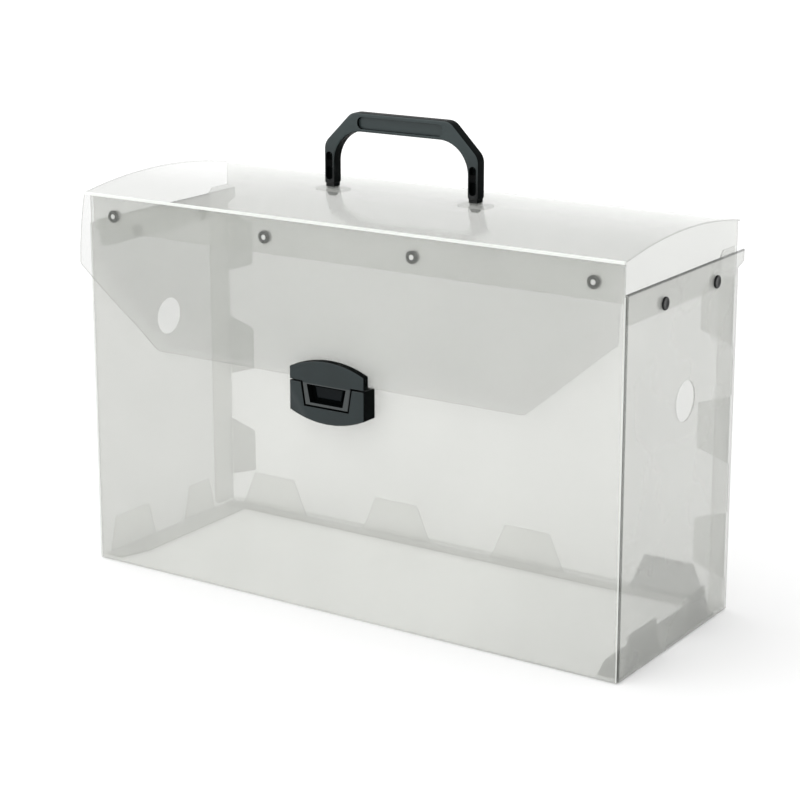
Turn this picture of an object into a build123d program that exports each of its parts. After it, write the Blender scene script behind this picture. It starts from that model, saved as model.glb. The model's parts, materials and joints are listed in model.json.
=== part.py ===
from build123d import *
import math
import os

# Portable file box: two die-cut plastic sheets folded into a box with an arched lid and a front
# flap, held by snap rivets, with a bow handle on the lid and a press latch on the flap.
#
# Frame: the origin is the middle of the underside, +X to the right, +Y to the back, +Z up.
# Sizes are in millimetres. The front wall's outer face stands at Y = -half_depth.

os.makedirs("parts", exist_ok=True)

# ---- driving dimensions: the box ------------------------------------------------------------
sheet = 1.0                 # thickness of the plastic sheet
layer_gap = 0.2             # air between two sheets that lie on each other
box_width = 380.0           # outside, left to right
box_depth = 140.0           # outside, front to back
end_wall_height = 223.0     # end walls, to the top of their folded hems
crease_height = 242.0       # top of the lid at its front and rear creases
lid_seat_gap = 0.3          # between the lid's underside and the front wall's top
corner_bend = 1.1           # bend radius of the front corners, at mid sheet
bottom_round = 0.9          # rounding of the box's bottom edges, less than the sheet
corner_seam = 1.0           # from the end of a corner bend to the crease line of the end panel
cut_margin = 1.0            # how far a cut runs past what it cuts

# ---- folded hems and their rivets -----------------------------------------------------------
fold_gap = 0.3              # air inside a folded hem
front_hem_height = 23.0
front_hem_inset = 3.0       # from the box's sides to the ends of the front hem
end_hem_height = 18.0
left_hem_front_inset = 6.5  # from the front wall to the left end's hem, at its top
left_hem_slant = 3.5        # how far its front end slants back, down the hem
right_hem_front_inset = 2.2
right_hem_slant = 1.2
end_hem_rear_inset = 22.0   # from the back wall, at both ends
front_rivet_drop = 12.7     # from the front hem's top down to its rivets
front_rivet_shares = (0.276, 0.892)   # of the box's half width, to each side
end_rivet_drop = 13.0
end_rivet_shares = (-0.357, 0.586)    # of the box's half depth, to the back
rivet_head_radius = 3.9
rivet_head_thickness = 1.1
rivet_head_taper = 35.0     # degrees, of the head's sloping rim
rivet_shank_radius = 2.0
rivet_bore_radius = 1.4     # the studs are tubes, open right through
rivet_clearance = 0.05      # shank to hole, radial
rivet_cap_radius = 3.6
rivet_cap_thickness = 0.9
rivet_tip_length = 0.5
rivet_tip_radius = 2.4

# ---- tabs, flanges and holes of the sheets --------------------------------------------------
finger_hole_radius = 12.2
finger_hole_share = 0.071   # of the half depth, to the back
finger_hole_height = 147.0
ear_reach = 8.0             # top rear ears of the end walls, past the back wall
ear_height = 10.0
ear_tip_height = 7.0        # of the ear's rear end
bottom_flange_width = 20.0  # end walls' flanges that lie on the floor
bottom_flange_front_inset = 4.0
bottom_flange_rear_inset = 14.5
bottom_flange_taper = (6.0, 20.0)
floor_tab_height = 24.0     # floor tabs inside the end walls
floor_tab_shares = ((-0.871, -0.229), (0.214, 0.679))   # where they start and end, of the half depth
floor_tab_slant = 6.0
rear_tab_height = 25.0      # floor tabs inside the back wall
rear_tab_shares = (0.266, 0.797)      # of the half width, to each side
rear_tab_root = 54.0
rear_tab_tip = 33.0
side_tab_shares = (0.184, 0.511, 0.839)    # end wall tabs inside the back wall, of the wall's height
side_tab_root = 42.0
side_tab_tip = 28.0
side_tab_reach = 21.0
slot_clearance = 0.4        # round each tab, where it passes through a crease
back_bottom_flange = 12.0
back_side_flange_share = 0.286   # width of the side flanges, of the half depth
back_side_flange_drop = 14.5     # from the lid's rear crease to the side flanges' top
back_side_flange_lift = 3.2      # their lower ends above the underside
back_side_flange_corner = 3.0    # size of their cut-off front corners
hinge_edge_round = 0.25          # of the back wall's top edge

# ---- lid and flap ---------------------------------------------------------------------------
lid_rise = 6.6              # arch of the lid above the line between its creases
crease_overhang = 3.3       # front crease, at mid sheet, past the front wall's outer face
hinge_gap = 0.15            # between the rounded edge on a hinge line and the sheet beside it
lid_edge_round = 0.4        # of the lid's front edge, which the flap folds back over
flap_drop = 93.5            # from the front crease down to the flap's lower edge
flap_corner_drop = 44.5     # down to where its cut corners start
flap_corner_run = 59.0      # how far the cut corners reach in along the bottom edge
flap_corner_round = 3.0
flap_stand_off = 6.3        # flap's mid sheet past the front wall's face, at the latch
flap_bulge_stand_off = 8.8
flap_bulge_drop = 39.0
flap_straight_drop = 79.0   # below this the flap hangs straight

# ---- latch ----------------------------------------------------------------------------------
latch_width = 53.0
latch_depth = 11.6          # front face past the front wall's outer face
latch_split_drop = 0.9      # from the flap's lower edge to the split between the halves
latch_gap = 0.3             # from the tongue's back to the notch's floor
split_gap = 0.8             # between the two halves, along the split
tongue_gap = 0.9            # round the tongue, in its notch
hasp_corner_rise = 7.8      # heights above the split
hasp_arch_rise = 13.6
base_corner_drop = 18.6     # depths below the split
base_arch_drop = 24.4
latch_edge_round = 0.7
tongue_top_share = 0.660    # widths as shares of the latch's
tongue_bottom_share = 0.570
tongue_drop = 14.2
window_top_drop = 1.4
window_bottom_drop = 12.4
window_top_share = 0.530
window_bottom_share = 0.440
button_top_drop = 2.4
button_bottom_drop = 10.0
button_top_share = 0.390
button_bottom_share = 0.330
button_proud = 1.8          # of the tongue's back face
button_travel = 2.0
button_clearance = 0.2      # to the hole that it slides in
button_flange = 0.9         # its collar, past the hole
button_collar_thickness = 1.2
button_bevel = 0.6
latch_floor_thickness = 1.5 # of the base, behind the notch
spring_coil_radius = 2.5
spring_wire_radius = 0.3
spring_turns = 4
spring_post_radius = 1.7
spring_post_gap = 0.2       # left behind the post at the end of the button's travel
screw_radius = 1.5
screw_head_radius = 2.7
screw_head_thickness = 1.5
screw_head_taper = 20.0
screw_clearance = 0.05
screw_slot_width = 0.7
screw_slot_depth = 0.6
base_screw_inset = 5.5      # from the latch's side
base_screw_drop = 9.1
base_screw_reach = 7.5      # into the latch base
base_plate_inset = 2.5
base_plate_height = 11.0
hasp_screw_inset = 11.5
hasp_screw_rise = 5.2
hasp_screw_reach = 3.6
hasp_plate_inset = 7.5
hasp_plate_height = 6.8
plate_thickness = 1.4
plate_round = 2.0

# ---- handle ---------------------------------------------------------------------------------
handle_width = 110.5
handle_rise = 47.4          # top of the grip above the lid
handle_thickness = 8.0
handle_leg_width = 7.2
handle_bar_height = 11.5
handle_shoulder = 20.1      # size of the cut-off outer corners
handle_outer_round = 9.0
handle_inner_round = 20.0
handle_edge_round = 1.0
handle_foot_lift = 1.8      # underside of the legs above the lid
handle_foot_round = 1.8
grip_recess_size = (61.3, 7.4)
grip_recess_depth = 2.0
grip_recess_round = 3.3     # of its ends
grip_recess_drop = 0.25     # below the middle of the grip
leg_recess_width = 4.8
leg_recess_length = 17.5
leg_recess_lift = 4.4       # its lower end above the lid
leg_recess_depth = 3.0
leg_window_lift = 11.7
leg_window_height = 4.6
collar_size = (5.8, 6.6)    # seats on the lid
collar_seat_gap = 0.05
neck_size = (4.6, 5.4)      # passes through the lid
neck_clearance = 0.15
barb_width = 6.4
barb_length = 3.0
barb_taper = 22.0           # degrees
washer_size = (20.0, 12.0)
washer_thickness = 1.5
washer_gap = 0.15           # below the lid's underside at its highest line

# ---- worked out from the above --------------------------------------------------------------
half_width = box_width / 2
half_depth = box_depth / 2
fold_radius = sheet + fold_gap / 2
inner_x = half_width - sheet                  # inner face of the end walls
layer_x = inner_x - layer_gap                 # outer face of what lies inside them
layer_y = half_depth - sheet - layer_gap      # rear face of what lies inside the back wall
layer_z = sheet + layer_gap                   # underside of what lies on the floor
front_wall_top = crease_height - sheet - lid_seat_gap
front_flat_top = front_wall_top - fold_radius
end_flat_top = end_wall_height - fold_radius
front_rivet_height = front_wall_top - front_rivet_drop
end_rivet_height = end_wall_height - end_rivet_drop
front_hem_length = box_width - 2 * front_hem_inset
slit_width = sheet + 2 * layer_gap            # of the slits that tabs pass
tab_plane_x = layer_x - sheet / 2
corner_end = corner_bend + corner_seam - half_depth     # where the front and end panels meet
end_hem_rear = half_depth - end_hem_rear_inset
front_rivet_xs = [half_width * share for share in front_rivet_shares]
end_rivet_ys = [half_depth * share for share in end_rivet_shares]
finger_hole_y = half_depth * finger_hole_share
bottom_flange_front = bottom_flange_front_inset - half_depth
bottom_flange_rear = half_depth - bottom_flange_rear_inset
rear_tab_xs = [half_width * share for share in rear_tab_shares]
back_side_flange = half_depth * back_side_flange_share
hem_depth = 2 * fold_radius                   # outer face of a wall to inner face of its hem
hinge_height = crease_height - sheet / 2
rear_hinge_y = half_depth - sheet / 2
front_hinge_y = -half_depth - crease_overhang
lid_span = rear_hinge_y - front_hinge_y
lid_middle_y = (rear_hinge_y + front_hinge_y) / 2
lid_radius = ((lid_span / 2) ** 2 + lid_rise ** 2) / (2 * lid_rise)
lid_centre_height = hinge_height + lid_rise - lid_radius
lid_half_angle = math.degrees(math.asin(lid_span / 2 / lid_radius))
hinge_reach = sheet / 2 + hinge_gap           # from a hinge line to the sheet beside it
side_tab_heights = [end_wall_height * share for share in side_tab_shares]
back_side_flange_top = crease_height - sheet - back_side_flange_drop
flap_bottom = crease_height - flap_drop
flap_corner_height = crease_height - flap_corner_drop
flap_bulge_height = crease_height - flap_bulge_drop
flap_straight_top = crease_height - flap_straight_drop
flap_middle_y = -half_depth - flap_stand_off
flap_front_y = flap_middle_y - sheet / 2
flap_rear_y = flap_middle_y + sheet / 2
latch_front_y = -half_depth - latch_depth
latch_split = flap_bottom - latch_split_drop
tongue_top_width = latch_width * tongue_top_share
tongue_bottom_width = latch_width * tongue_bottom_share
window_top_width = latch_width * window_top_share
window_bottom_width = latch_width * window_bottom_share
button_top_width = latch_width * button_top_share
button_bottom_width = latch_width * button_bottom_share
base_screw_x = latch_width / 2 - base_screw_inset
hasp_screw_x = latch_width / 2 - hasp_screw_inset
base_plate_size = (latch_width - 2 * base_plate_inset, base_plate_height)
hasp_plate_size = (latch_width - 2 * hasp_plate_inset, hasp_plate_height)
tongue_bottom = latch_split - tongue_drop
window_top = latch_split - window_top_drop
window_bottom = latch_split - window_bottom_drop
button_top = latch_split - button_top_drop
button_bottom = latch_split - button_bottom_drop
base_screw_height = latch_split - base_screw_drop
hasp_screw_height = latch_split + hasp_screw_rise
notch_floor_y = flap_front_y + latch_gap
notch_bottom = tongue_bottom - tongue_gap
latch_base_top = latch_split - split_gap
button_front_y = flap_front_y - button_proud
button_collar_y = notch_floor_y + latch_floor_thickness
button_back_y = button_collar_y + button_collar_thickness
spring_length = -half_depth - button_back_y
spring_post_length = spring_length - button_travel - spring_post_gap
base_plate_y = -half_depth + sheet
lid_top_height = hinge_height + lid_rise + sheet / 2
lid_under_height = lid_top_height - sheet
leg_x = (handle_width - handle_leg_width) / 2
handle_top = lid_top_height + handle_rise
handle_foot_bottom = lid_top_height + handle_foot_lift
leg_recess_middle = lid_top_height + leg_recess_lift + leg_recess_length / 2
leg_window_middle = lid_top_height + leg_window_lift + leg_window_height / 2
bar_bottom = handle_top - handle_bar_height
bar_middle = handle_top - handle_bar_height / 2
washer_top = lid_under_height - washer_gap
rivet_shank_length = hem_depth + rivet_cap_thickness


def hem_section(height):
    """Draw a folded hem: x runs inward from the wall's outer face, y up, 0 at the fold's top."""
    with BuildLine() as outline:
        ThreePointArc((0, -fold_radius), (fold_radius, 0), (hem_depth, -fold_radius))
        Line((hem_depth, -fold_radius), (hem_depth, -height))
        Line((hem_depth, -height), (hem_depth - sheet, -height))
        Line((hem_depth - sheet, -height), (hem_depth - sheet, -fold_radius))
        ThreePointArc(
            (hem_depth - sheet, -fold_radius),
            (fold_radius, sheet - fold_radius),
            (sheet, -fold_radius),
        )
        Line((sheet, -fold_radius), (0, -fold_radius))
    make_face(outline.edges())


def trapezoid(middle, bottom, top, bottom_width, top_width):
    """Draw an upright trapezoid between two heights, centred on x = middle."""
    with BuildLine() as outline:
        Polyline(
            (middle - bottom_width / 2, bottom),
            (middle + bottom_width / 2, bottom),
            (middle + top_width / 2, top),
            (middle - top_width / 2, top),
            close=True,
        )
    make_face(outline.edges())


def arched_outline(straight_end, corner, arch):
    """Draw a latch half: straight at one end, arched at the other, as wide as the latch."""
    with BuildLine() as outline:
        Polyline(
            (-latch_width / 2, corner),
            (-latch_width / 2, straight_end),
            (latch_width / 2, straight_end),
            (latch_width / 2, corner),
        )
        ThreePointArc((latch_width / 2, corner), (0, arch), (-latch_width / 2, corner))
    make_face(outline.edges())


# The body is one folded sheet. Its four panels are made apart, and meet face to face at the creases.

# ---- floor panel, with the tabs that come up inside the end walls and the back wall ---------
with BuildPart() as floor_panel:
    with BuildSketch(Plane.XY) as floor_outline:
        Rectangle(box_width, box_depth)
        front_corners = floor_outline.vertices().group_by(Axis.Y)[0]
        fillet(front_corners, radius=corner_bend + sheet / 2)
    extrude(amount=sheet)
    bottom_edges = floor_panel.edges().group_by(Axis.Z)[0]
    fillet(bottom_edges, radius=bottom_round)
    for side in (-1, 1):
        for start_share, end_share in floor_tab_shares:
            tab_length = half_depth * (end_share - start_share)
            with BuildSketch(Plane.YZ.offset(side * layer_x)):
                trapezoid(
                    half_depth * (start_share + end_share) / 2,
                    sheet / 2,
                    floor_tab_height,
                    tab_length,
                    tab_length - 2 * floor_tab_slant,
                )
            extrude(amount=-side * sheet)
        for tab_x in rear_tab_xs:
            with BuildSketch(Plane.XZ.offset(-layer_y)):
                trapezoid(side * tab_x, sheet / 2, rear_tab_height, rear_tab_root, rear_tab_tip)
            extrude(amount=sheet)
floor_panel.part.label = "floor_panel"
export_step(floor_panel.part, "parts/floor_panel.step")

# ---- front panel: front wall, its hem and the two front corner bends ------------------------
with BuildPart() as front_panel:
    with BuildSketch(Plane.XY.offset(sheet)):
        with BuildLine():
            FilletPolyline(
                (-half_width + sheet / 2, corner_end),
                (-half_width + sheet / 2, -half_depth + sheet / 2),
                (half_width - sheet / 2, -half_depth + sheet / 2),
                (half_width - sheet / 2, corner_end),
                radius=corner_bend,
            )
        trace(line_width=sheet)
    extrude(amount=end_flat_top - sheet)
    # above the end walls the front wall goes on without its bends
    with BuildSketch(Plane.XZ.offset(half_depth)):
        with Locations((0, (end_flat_top + front_flat_top) / 2)):
            Rectangle(box_width - 2 * corner_bend - sheet, front_flat_top - end_flat_top)
    extrude(amount=-sheet)
    hem_start = (-front_hem_length / 2, -half_depth, front_wall_top)
    with BuildSketch(Plane(origin=hem_start, x_dir=(0, 1, 0), z_dir=(1, 0, 0))):
        hem_section(front_hem_height)
    extrude(amount=front_hem_length)
    # rivet holes and latch holes
    with BuildSketch(Plane.XZ.offset(half_depth + cut_margin)):
        for rivet_x in front_rivet_xs:
            with Locations((-rivet_x, front_rivet_height), (rivet_x, front_rivet_height)):
                Circle(rivet_shank_radius + rivet_clearance)
        with Locations((-base_screw_x, base_screw_height), (base_screw_x, base_screw_height)):
            Circle(screw_radius + screw_clearance)
    extrude(amount=-hem_depth - 2 * cut_margin, mode=Mode.SUBTRACT)
front_panel.part.label = "front_panel"
export_step(front_panel.part, "parts/front_panel.step")

# ---- end panels: end walls with their hems, ears, bottom flanges and rear tabs --------------
end_panels = (
    ("left", -1, left_hem_front_inset, left_hem_slant),
    ("right", 1, right_hem_front_inset, right_hem_slant),
)
for side_name, side, hem_front_inset, hem_slant in end_panels:
    hem_front = hem_front_inset - half_depth
    with BuildPart() as end_panel:
        # wall, whose top edge behind the hem ends in the ear
        with BuildSketch(Plane.YZ.offset(side * half_width)):
            with BuildLine():
                Polyline(
                    (corner_end, sheet),
                    (half_depth, sheet),
                    (half_depth, end_wall_height - ear_height),
                    (half_depth + ear_reach, end_wall_height - ear_tip_height),
                    (half_depth + ear_reach, end_wall_height),
                    (end_hem_rear, end_wall_height),
                    (end_hem_rear, end_flat_top),
                    (corner_end, end_flat_top),
                    close=True,
                )
            make_face()
        extrude(amount=-side * sheet)
        # hem, with its slanted front end
        hem_start = (side * half_width, hem_front, end_wall_height)
        with BuildSketch(Plane(origin=hem_start, x_dir=(-side, 0, 0), z_dir=(0, side, 0))):
            hem_section(end_hem_height)
        extrude(amount=side * (end_hem_rear - hem_front))
        with BuildSketch(Plane.YZ.offset(side * (half_width - hem_depth))):
            with BuildLine():
                Polyline(
                    (hem_front, end_flat_top),
                    (hem_front, end_wall_height - end_hem_height),
                    (hem_front + hem_slant, end_wall_height - end_hem_height),
                    close=True,
                )
            make_face()
        extrude(amount=side * sheet, mode=Mode.SUBTRACT)
        # bottom flange
        taper_in, taper_along = bottom_flange_taper
        flange_edge = inner_x - bottom_flange_width
        with BuildSketch(Plane.XY.offset(layer_z)):
            with BuildLine():
                Polyline(
                    (side * (inner_x + sheet / 2), bottom_flange_front),
                    (side * (flange_edge + taper_in), bottom_flange_front),
                    (side * flange_edge, bottom_flange_front + taper_along),
                    (side * flange_edge, bottom_flange_rear),
                    (side * (inner_x + sheet / 2), bottom_flange_rear),
                    close=True,
                )
            make_face()
        extrude(amount=sheet)
        # slits where the floor's tabs come up
        with BuildSketch(Plane.XY.offset(layer_z)):
            for start_share, end_share in floor_tab_shares:
                slit_middle = half_depth * (start_share + end_share) / 2
                slit_length = half_depth * (end_share - start_share) + slot_clearance
                with Locations((side * tab_plane_x, slit_middle)):
                    Rectangle(slit_width, slit_length)
        extrude(amount=sheet, mode=Mode.SUBTRACT)
        # tabs on the rear edge, which turn in behind the back wall
        for tab_height in side_tab_heights:
            with BuildSketch(Plane.XZ.offset(-layer_y)):
                with BuildLine():
                    Polyline(
                        (side * (inner_x + sheet / 2), tab_height - side_tab_root / 2),
                        (side * (inner_x - side_tab_reach), tab_height - side_tab_tip / 2),
                        (side * (inner_x - side_tab_reach), tab_height + side_tab_tip / 2),
                        (side * (inner_x + sheet / 2), tab_height + side_tab_root / 2),
                        close=True,
                    )
                make_face()
            extrude(amount=sheet)
        # finger hole and rivet holes
        with BuildSketch(Plane.YZ.offset(side * (half_width + cut_margin))):
            with Locations((finger_hole_y, finger_hole_height)):
                Circle(finger_hole_radius)
            with Locations(*[(rivet_y, end_rivet_height) for rivet_y in end_rivet_ys]):
                Circle(rivet_shank_radius + rivet_clearance)
        extrude(amount=-side * (hem_depth + 2 * cut_margin), mode=Mode.SUBTRACT)
    end_panel.part.label = f"{side_name}_end_panel"
    export_step(end_panel.part, f"parts/{side_name}_end_panel.step")

# ---- back panel: back wall, side flanges and bottom flange ----------------------------------
with BuildPart() as back_panel:
    wall_top = hinge_height - hinge_reach
    with BuildSketch(Plane.XZ.offset(-half_depth)):
        with Locations((0, (layer_z + wall_top) / 2)):
            Rectangle(2 * layer_x, wall_top - layer_z)
    extrude(amount=sheet)
    top_edges = back_panel.edges().filter_by(Axis.X).group_by(Axis.Z)[-1]
    fillet(top_edges, radius=hinge_edge_round)
    with BuildSketch(Plane.XY.offset(layer_z)):
        with Locations((0, half_depth - sheet / 2 - back_bottom_flange / 2)):
            Rectangle(2 * (layer_x - 2 * sheet), back_bottom_flange)
    extrude(amount=sheet)
    for side in (-1, 1):
        with BuildSketch(Plane.YZ.offset(side * layer_x)):
            flange_front = half_depth - sheet - back_side_flange
            with BuildLine():
                Polyline(
                    (half_depth - sheet / 2, back_side_flange_lift),
                    (flange_front + back_side_flange_corner, back_side_flange_lift),
                    (flange_front, back_side_flange_lift + back_side_flange_corner),
                    (flange_front, back_side_flange_top - back_side_flange_corner),
                    (flange_front + back_side_flange_corner, back_side_flange_top),
                    (half_depth - sheet / 2, back_side_flange_top),
                    close=True,
                )
            make_face()
        extrude(amount=-side * sheet)
        # the crease is slit where the end wall's tabs pass
        with BuildSketch(Plane.XZ.offset(-half_depth)):
            for tab_height in side_tab_heights:
                with Locations((side * tab_plane_x, tab_height)):
                    Rectangle(slit_width, side_tab_root + slot_clearance)
        extrude(amount=sheet + slit_width, mode=Mode.SUBTRACT)
    # and the bottom crease where the floor's tabs pass
    with BuildSketch(Plane.XY.offset(layer_z)):
        for tab_x in rear_tab_xs:
            with Locations((-tab_x, layer_y - sheet / 2), (tab_x, layer_y - sheet / 2)):
                Rectangle(rear_tab_root + slot_clearance, slit_width)
    extrude(amount=sheet, mode=Mode.SUBTRACT)
back_panel.part.label = "back_panel"
export_step(back_panel.part, "parts/back_panel.step")

# ---- lid panel: an arched sheet, its rear edge rounded about the rear hinge line ------------
with BuildPart() as lid_panel:
    with BuildSketch(Plane.YZ.offset(-half_width)):
        with BuildLine():
            CenterArc(
                center=(lid_middle_y, lid_centre_height),
                radius=lid_radius,
                start_angle=90 - lid_half_angle,
                arc_size=2 * lid_half_angle - math.degrees(hinge_reach / lid_radius),
            )
        trace(line_width=sheet)
        with Locations((rear_hinge_y, hinge_height)):
            Circle(sheet / 2)
    extrude(amount=box_width)
    front_edges = lid_panel.edges().filter_by(Axis.X).sort_by(Axis.Y)[:2]
    fillet(front_edges, radius=lid_edge_round)
    # slots for the handle's necks
    with BuildSketch(Plane.XY.offset(lid_under_height - cut_margin)):
        with Locations((-leg_x, 0), (leg_x, 0)):
            Rectangle(neck_size[0] + 2 * neck_clearance, neck_size[1] + 2 * neck_clearance)
    extrude(amount=sheet + 2 * cut_margin, mode=Mode.SUBTRACT)
lid_panel.part.label = "lid_panel"
export_step(lid_panel.part, "parts/lid_panel.step")

# ---- flap panel: bowed forward, straight at the latch, its lower corners cut off ------------
with BuildPart() as flap_panel:
    with BuildSketch(Plane.YZ.offset(-half_width)):
        with BuildLine():
            ThreePointArc(
                (front_hinge_y, hinge_height),
                (-half_depth - flap_bulge_stand_off, flap_bulge_height),
                (flap_middle_y, flap_straight_top),
            )
            Line((flap_middle_y, flap_straight_top), (flap_middle_y, flap_bottom))
        trace(line_width=sheet)
        with Locations((front_hinge_y, hinge_height)):
            Circle(sheet / 2)
    extrude(amount=box_width)
    with BuildSketch(Plane.XZ.offset(half_depth)) as flap_outline:
        with BuildLine():
            Polyline(
                (-half_width, crease_height + cut_margin),
                (-half_width, flap_corner_height),
                (-half_width + flap_corner_run, flap_bottom),
                (half_width - flap_corner_run, flap_bottom),
                (half_width, flap_corner_height),
                (half_width, crease_height + cut_margin),
                close=True,
            )
        make_face()
        cut_corners = flap_outline.vertices().group_by(Axis.Y)[:-1]
        fillet([corner for level in cut_corners for corner in level], radius=flap_corner_round)
    extrude(amount=flap_bulge_stand_off + sheet + cut_margin, mode=Mode.INTERSECT)
    with BuildSketch(Plane.XZ.offset(half_depth)):
        with Locations((-hasp_screw_x, hasp_screw_height), (hasp_screw_x, hasp_screw_height)):
            Circle(screw_radius + screw_clearance)
    extrude(amount=flap_bulge_stand_off + sheet + cut_margin, mode=Mode.SUBTRACT)
flap_panel.part.label = "flap_panel"
export_step(flap_panel.part, "parts/flap_panel.step")


# ---- snap rivets: a stud from outside and a cap inside, for each hem ------------------------
front_plane = Plane.XZ.offset(half_depth)
right_plane = Plane.YZ.offset(half_width)
left_plane = Plane(origin=(-half_width, 0, 0), x_dir=(0, -1, 0), z_dir=(-1, 0, 0))
rivet_rows = (
    ("front", front_plane, [(-x, front_rivet_height) for x in front_rivet_xs]
        + [(x, front_rivet_height) for x in front_rivet_xs]),
    ("right", right_plane, [(y, end_rivet_height) for y in end_rivet_ys]),
    ("left", left_plane, [(-y, end_rivet_height) for y in end_rivet_ys]),
)
for row_name, wall_plane, places in rivet_rows:
    # studs: head on the wall's outer face, shank through the hem, widened tip
    with BuildPart() as studs:
        with BuildSketch(wall_plane):
            with Locations(*places):
                Circle(rivet_head_radius)
        extrude(amount=rivet_head_thickness, taper=rivet_head_taper)
        with BuildSketch(wall_plane):
            with Locations(*places):
                Circle(rivet_shank_radius)
        extrude(amount=-rivet_shank_length)
        with BuildSketch(wall_plane.offset(-rivet_shank_length)):
            with Locations(*places):
                Circle(rivet_tip_radius)
        extrude(amount=-rivet_tip_length)
        with BuildSketch(wall_plane.offset(rivet_head_thickness)):
            with Locations(*places):
                Circle(rivet_bore_radius)
        bore_length = rivet_head_thickness + rivet_shank_length + rivet_tip_length
        extrude(amount=-bore_length, mode=Mode.SUBTRACT)
    studs.part.label = f"{row_name}_hem_rivets"
    export_step(studs.part, f"parts/{row_name}_hem_rivets.step")
    # caps: rings round the shanks, on the hem's inner face
    with BuildPart() as caps:
        with BuildSketch(wall_plane.offset(-hem_depth)):
            with Locations(*places):
                Circle(rivet_cap_radius)
                Circle(rivet_shank_radius + rivet_clearance, mode=Mode.SUBTRACT)
        extrude(amount=-rivet_cap_thickness)
    caps.part.label = f"{row_name}_hem_rivet_caps"
    export_step(caps.part, f"parts/{row_name}_hem_rivet_caps.step")

# ---- latch base: lower half, with the notch for the tongue and the button's pocket ----------
with BuildPart() as latch_base:
    with BuildSketch(Plane.XZ.offset(half_depth)):
        arched_outline(latch_base_top, latch_split - base_corner_drop, latch_split - base_arch_drop)
    extrude(amount=latch_depth)
    front_edges = latch_base.faces().sort_by(Axis.Y)[0].edges()
    fillet(front_edges, radius=latch_edge_round)
    # notch for the tongue, open at the top
    with BuildSketch(Plane.XZ.offset(-latch_front_y)):
        trapezoid(
            0,
            notch_bottom,
            latch_base_top,
            tongue_bottom_width + 2 * tongue_gap,
            tongue_top_width + 2 * tongue_gap,
        )
    extrude(amount=-(notch_floor_y - latch_front_y), mode=Mode.SUBTRACT)
    # the button's hole in the notch's floor, and the wider pocket behind it
    with BuildSketch(Plane.XZ.offset(-notch_floor_y)):
        trapezoid(
            0,
            button_bottom - button_clearance,
            button_top + button_clearance,
            button_bottom_width + 2 * button_clearance,
            button_top_width + 2 * button_clearance,
        )
    extrude(amount=-latch_floor_thickness, mode=Mode.SUBTRACT)
    pocket_margin = button_flange + button_clearance
    with BuildSketch(Plane.XZ.offset(-button_collar_y)):
        trapezoid(
            0,
            button_bottom - pocket_margin,
            button_top + pocket_margin,
            button_bottom_width + 2 * pocket_margin,
            button_top_width + 2 * pocket_margin,
        )
    extrude(amount=-(-half_depth - button_collar_y), mode=Mode.SUBTRACT)
    # blind screw holes from the back
    with BuildSketch(Plane.XZ.offset(half_depth)):
        with Locations((-base_screw_x, base_screw_height), (base_screw_x, base_screw_height)):
            Circle(screw_radius + screw_clearance)
    extrude(amount=base_screw_reach + layer_gap, mode=Mode.SUBTRACT)
latch_base.part.label = "latch_base"
export_step(latch_base.part, "parts/latch_base.step")

# ---- latch button, behind its collar a post for the spring ----------------------------------
with BuildPart() as latch_button:
    with BuildSketch(Plane.XZ.offset(-button_collar_y)):
        trapezoid(0, button_bottom, button_top, button_bottom_width, button_top_width)
    extrude(amount=button_collar_y - button_front_y)
    face_edges = latch_button.faces().sort_by(Axis.Y)[0].edges()
    chamfer(face_edges, length=button_bevel)
    with BuildSketch(Plane.XZ.offset(-button_collar_y)):
        trapezoid(
            0,
            button_bottom - button_flange,
            button_top + button_flange,
            button_bottom_width + 2 * button_flange,
            button_top_width + 2 * button_flange,
        )
    extrude(amount=-button_collar_thickness)
    with BuildSketch(Plane.XZ.offset(-button_back_y)):
        with Locations((0, (button_bottom + button_top) / 2)):
            Circle(spring_post_radius)
    extrude(amount=-spring_post_length)
latch_button.part.label = "latch_button"
export_step(latch_button.part, "parts/latch_button.step")

# ---- latch spring, between the button's collar and the front wall ---------------------------
spring_origin = (0, button_back_y + spring_wire_radius, (button_bottom + button_top) / 2)
with BuildPart() as latch_spring:
    with BuildLine() as coil:
        coil_height = spring_length - 2 * spring_wire_radius
        Helix(
            pitch=coil_height / spring_turns,
            height=coil_height,
            radius=spring_coil_radius,
            center=spring_origin,
            direction=(0, 1, 0),
        )
    with BuildSketch(Plane(origin=coil.line @ 0, z_dir=coil.line % 0)):
        Circle(spring_wire_radius)
    sweep()
latch_spring.part.label = "latch_spring"
export_step(latch_spring.part, "parts/latch_spring.step")

# ---- latch hasp: upper half, with the framed tongue that drops over the button --------------
with BuildPart() as latch_hasp:
    with BuildSketch(Plane.XZ.offset(-flap_front_y)):
        arched_outline(latch_split, latch_split + hasp_corner_rise, latch_split + hasp_arch_rise)
        trapezoid(
            0,
            tongue_bottom,
            latch_split + sheet,
            tongue_bottom_width,
            tongue_top_width,
        )
    extrude(amount=flap_front_y - latch_front_y)
    front_edges = latch_hasp.faces().sort_by(Axis.Y)[0].edges()
    fillet(front_edges, radius=latch_edge_round)
    with BuildSketch(Plane.XZ.offset(-flap_front_y)):
        trapezoid(0, window_bottom, window_top, window_bottom_width, window_top_width)
    extrude(amount=flap_front_y - latch_front_y, mode=Mode.SUBTRACT)
    with BuildSketch(Plane.XZ.offset(-flap_front_y)):
        with Locations((-hasp_screw_x, hasp_screw_height), (hasp_screw_x, hasp_screw_height)):
            Circle(screw_radius + screw_clearance)
    extrude(amount=hasp_screw_reach + layer_gap, mode=Mode.SUBTRACT)
latch_hasp.part.label = "latch_hasp"
export_step(latch_hasp.part, "parts/latch_hasp.step")


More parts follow.
